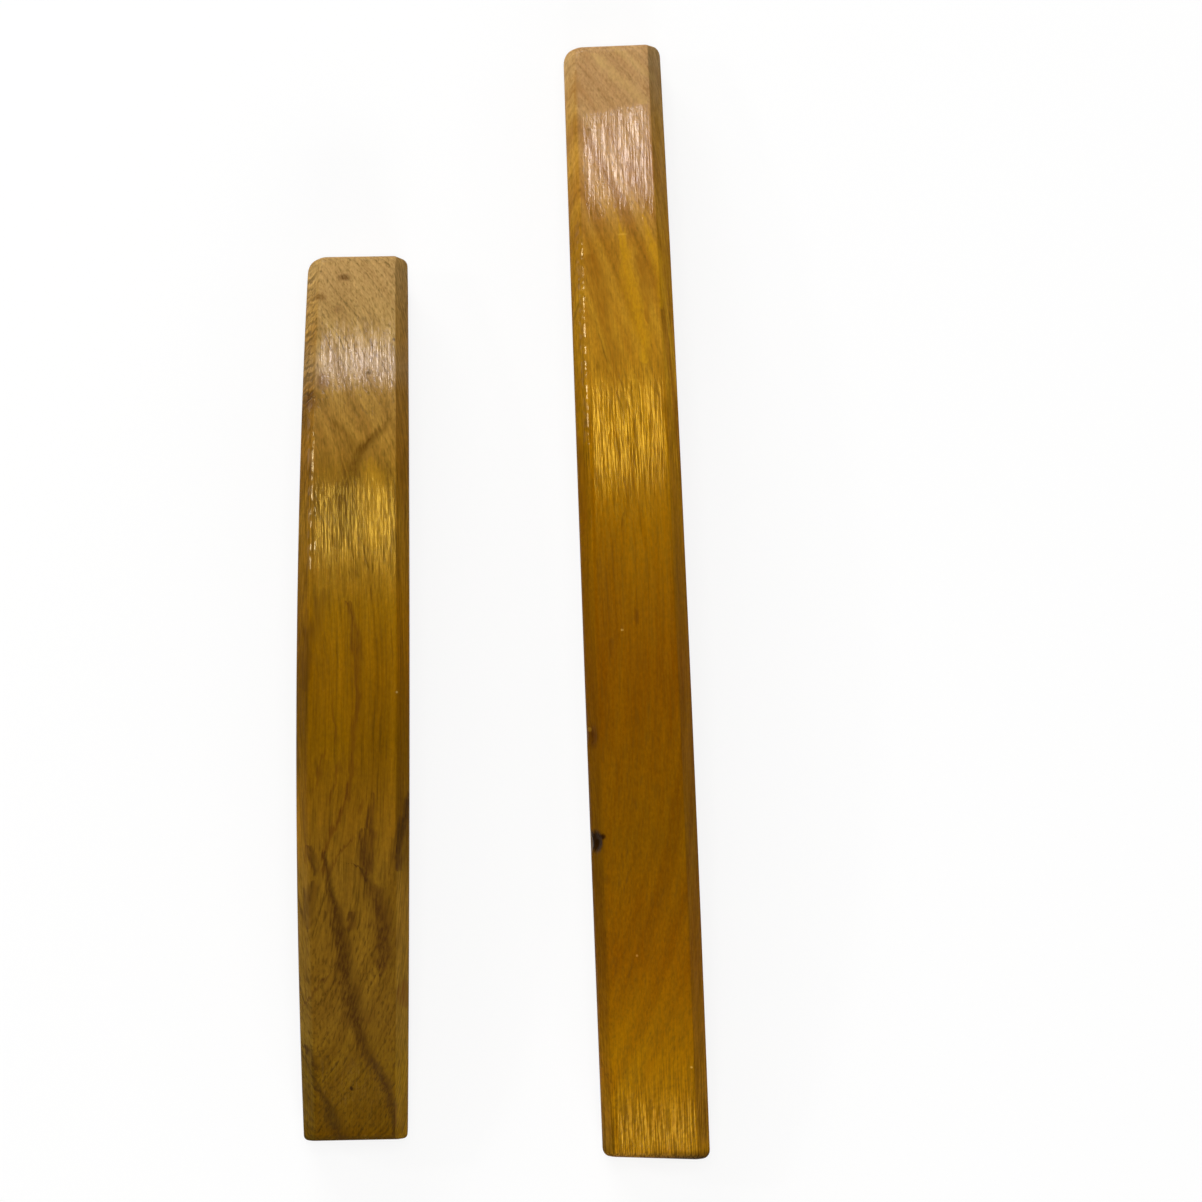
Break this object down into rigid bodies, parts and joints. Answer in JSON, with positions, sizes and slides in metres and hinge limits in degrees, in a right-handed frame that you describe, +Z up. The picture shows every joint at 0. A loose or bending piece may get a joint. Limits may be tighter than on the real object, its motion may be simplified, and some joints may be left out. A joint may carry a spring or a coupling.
{
  "type": "claves",
  "caption": "Bowed hardwood claves: a longer and a shorter varnished stick with bevelled long edges, each standing like a low arch on flat feet, struck together as percussion.",
  "frame": {"origin": "on the surface that both claves stand on, below the middle of the box round both", "axes": "+Z up, +Y towards the heads of the claves, +X from the short clave to the long one"},
  "size_m": [0.092, 0.2488, 0.0338],
  "materials": {
    "amber_wood": "golden amber ring-porous hardwood under clear varnish, dull and paler at the head",
    "olive_wood": "olive brown ring-porous hardwood under clear varnish, with dark veins"
  },
  "bodies": {
    "long_clave": {"long_clave": "amber_wood"},
    "short_clave": {"short_clave": "olive_wood"}
  },
  "joints": [
    {"name": "strike", "type": "slide", "parent": "long_clave", "child": "short_clave", "axis": [1, 0, 0], "range_m": [0, 0.035]}
  ]
}
